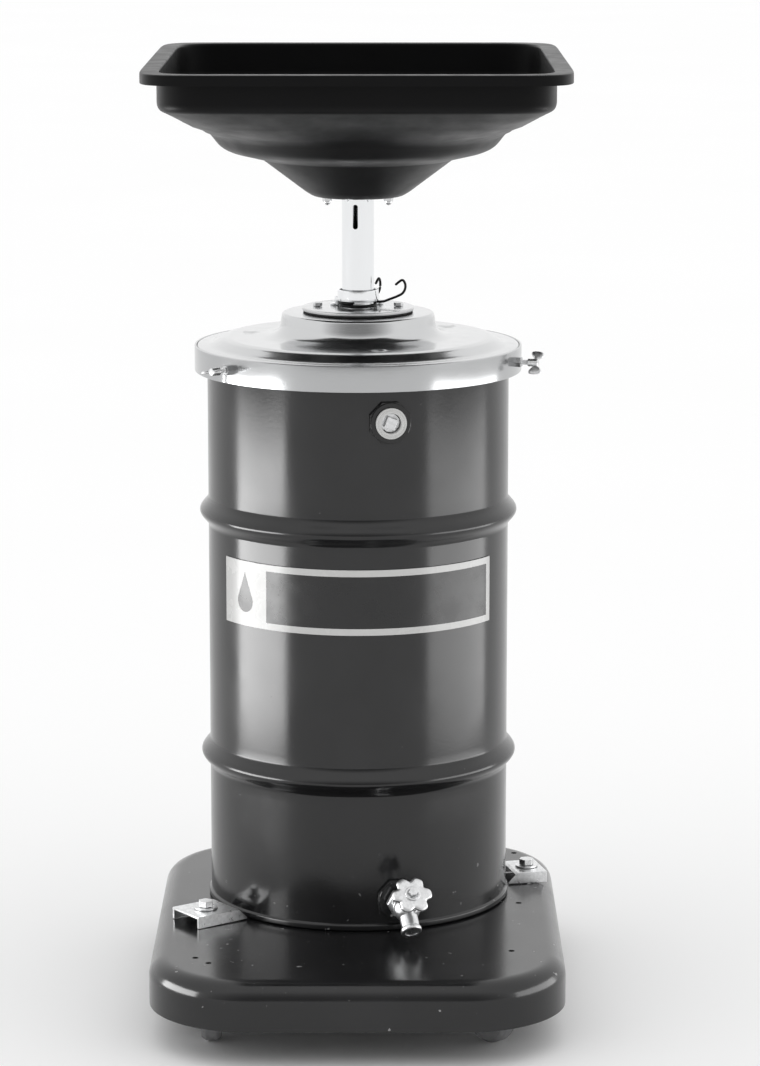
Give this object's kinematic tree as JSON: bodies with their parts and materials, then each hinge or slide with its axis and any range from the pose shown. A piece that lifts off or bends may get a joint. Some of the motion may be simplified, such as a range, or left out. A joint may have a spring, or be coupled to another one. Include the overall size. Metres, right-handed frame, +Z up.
{
  "type": "oil drain receiver",
  "caption": "Rectangular oil drain bowl on a height-adjustable mast over a lidded round drum with side port and tap, clipped to a skirted caster dolly.",
  "frame": {"origin": "on the floor under the middle of the footprint; the mast's axis stands 48.5 mm behind it", "axes": "+Z up, the front with the tap and the label towards -Y, +X to the right seen from the front"},
  "size_m": [0.486, 0.677, 1.107],
  "materials": {
    "black_plastic": "satin moulded",
    "rubber": "matt",
    "chrome": "polished",
    "bright_plate": "bright plated",
    "zinc": "zinc plated",
    "spring_steel": "black oxide wire",
    "dark_paint": "gloss",
    "black_paint": "gloss",
    "white_ring": "gloss",
    "label_film": "satin film",
    "wheel_grey": "matt"
  },
  "bodies": {
    "base": {"dolly_deck": "dark_paint", "drum_shell": "dark_paint", "drum_bottom": "dark_paint", "label_panel": "label_film", "side_boss": "black_paint", "side_ring": "white_ring", "drain_boss": "dark_paint", "tap_body": "zinc", "tap_packing_nut": "zinc", "drum_clip_1": "zinc", "drum_clip_2": "zinc", "clip_washer_1": "zinc", "clip_washer_2": "zinc", "clip_bolt_1": "zinc", "clip_bolt_2": "zinc", "caster_plate_1": "zinc", "caster_plate_2": "zinc", "caster_plate_3": "zinc", "caster_plate_4": "zinc"},
    "lid": {"lid": "bright_plate", "lid_gasket": "rubber", "lid_band": "bright_plate", "plate_gasket": "rubber", "mounting_plate": "bright_plate", "plate_bolt_1": "zinc", "plate_bolt_2": "zinc", "guide_bush": "zinc", "mast_collar": "chrome", "brake_coil": "spring_steel"},
    "mast_wiper": {"mast_wiper": "rubber"},
    "mast": {"mast_tube": "chrome", "mast_stop_ring": "zinc", "mast_head_flange": "chrome", "bowl_gasket": "rubber", "drain_bowl": "black_plastic", "bowl_bolt_1": "zinc", "bowl_bolt_2": "zinc", "bowl_bolt_3": "zinc", "cap_nut_1": "zinc", "cap_nut_2": "zinc", "cap_nut_3": "zinc"},
    "screen": {"drain_screen": "zinc"},
    "brake_end": {"brake_free_end": "spring_steel"},
    "wing_1": {"wing_screw_1": "bright_plate"},
    "wing_2": {"wing_screw_2": "bright_plate"},
    "wing_3": {"wing_screw_3": "bright_plate"},
    "side_plug": {"side_plug": "zinc"},
    "tap_handle": {"tap_stem": "zinc", "tap_handwheel": "zinc"},
    "caster_swivel_1": {"caster_fork_1": "zinc"},
    "caster_swivel_2": {"caster_fork_2": "zinc"},
    "caster_swivel_3": {"caster_fork_3": "zinc"},
    "caster_swivel_4": {"caster_fork_4": "zinc"},
    "caster_roll_1": {"caster_wheel_1": "wheel_grey"},
    "caster_roll_2": {"caster_wheel_2": "wheel_grey"},
    "caster_roll_3": {"caster_wheel_3": "wheel_grey"},
    "caster_roll_4": {"caster_wheel_4": "wheel_grey"}
  },
  "joints": [
    {"name": "lid_lift", "type": "slide", "parent": "base", "child": "lid", "axis": [0, 0, 1], "range_m": [0, 0.3]},
    {"name": "mast_turn", "type": "hinge", "parent": "lid", "child": "mast_wiper", "pos_m": [0, 0.0485, 0.833], "axis": [0, 0, 1], "continuous": true},
    {"name": "mast_slide", "type": "slide", "parent": "mast_wiper", "child": "mast", "axis": [0, 0, 1], "range_m": [-0.08, 0.38]},
    {"name": "screen_lift", "type": "slide", "parent": "mast", "child": "screen", "axis": [0, 0, 1], "range_m": [0, 0.12]},
    {"name": "brake_squeeze", "type": "hinge", "parent": "lid", "child": "brake_end", "pos_m": [0, 0.0485, 0.8196], "axis": [0, 0, 1], "range_deg": [0, 12], "stiffness_Nm_per_rad": 2},
    {"name": "wing_turn_1", "type": "hinge", "parent": "lid", "child": "wing_1", "pos_m": [-0.14641, -0.07878, 0.757], "axis": [-0.7547, -0.6561, 0], "range_deg": [0, 1080]},
    {"name": "wing_turn_2", "type": "hinge", "parent": "lid", "child": "wing_2", "pos_m": [0.18343, -0.01466, 0.757], "axis": [0.9455, -0.3256, 0], "range_deg": [0, 1080]},
    {"name": "wing_turn_3", "type": "hinge", "parent": "lid", "child": "wing_3", "pos_m": [-0.03702, 0.23894, 0.757], "axis": [-0.1908, 0.9816, 0], "range_deg": [0, 1080]},
    {"name": "plug_turn", "type": "hinge", "parent": "base", "child": "side_plug", "pos_m": [0.03722, -0.12659, 0.703], "axis": [0.2079, -0.9781, 0], "range_deg": [0, 1080]},
    {"name": "tap_turn", "type": "hinge", "parent": "base", "child": "tap_handle", "pos_m": [0.0572, -0.16497, 0.136], "axis": [0.183, -0.683, 0.7071], "range_deg": [0, 900]},
    {"name": "swivel_1", "type": "hinge", "parent": "base", "child": "caster_swivel_1", "pos_m": [-0.168, -0.2515, 0.084], "axis": [0, 0, 1], "continuous": true},
    {"name": "roll_1", "type": "hinge", "parent": "caster_swivel_1", "child": "caster_roll_1", "pos_m": [-0.168, -0.2315, 0.0325], "axis": [-1, 0, 0], "continuous": true},
    {"name": "swivel_2", "type": "hinge", "parent": "base", "child": "caster_swivel_2", "pos_m": [0.168, -0.2515, 0.084], "axis": [0, 0, 1], "continuous": true},
    {"name": "roll_2", "type": "hinge", "parent": "caster_swivel_2", "child": "caster_roll_2", "pos_m": [0.15386, -0.23736, 0.0325], "axis": [-0.7071, -0.7071, 0], "continuous": true},
    {"name": "swivel_3", "type": "hinge", "parent": "base", "child": "caster_swivel_3", "pos_m": [-0.168, 0.1905, 0.084], "axis": [0, 0, 1], "continuous": true},
    {"name": "roll_3", "type": "hinge", "parent": "caster_swivel_3", "child": "caster_roll_3", "pos_m": [-0.16282, 0.17118, 0.0325], "axis": [0.9659, 0.2588, 0], "continuous": true},
    {"name": "swivel_4", "type": "hinge", "parent": "base", "child": "caster_swivel_4", "pos_m": [0.168, 0.1905, 0.084], "axis": [0, 0, 1], "continuous": true},
    {"name": "roll_4", "type": "hinge", "parent": "caster_swivel_4", "child": "caster_roll_4", "pos_m": [0.16116, 0.17171, 0.0325], "axis": [0.9397, -0.342, 0], "continuous": true}
  ]
}
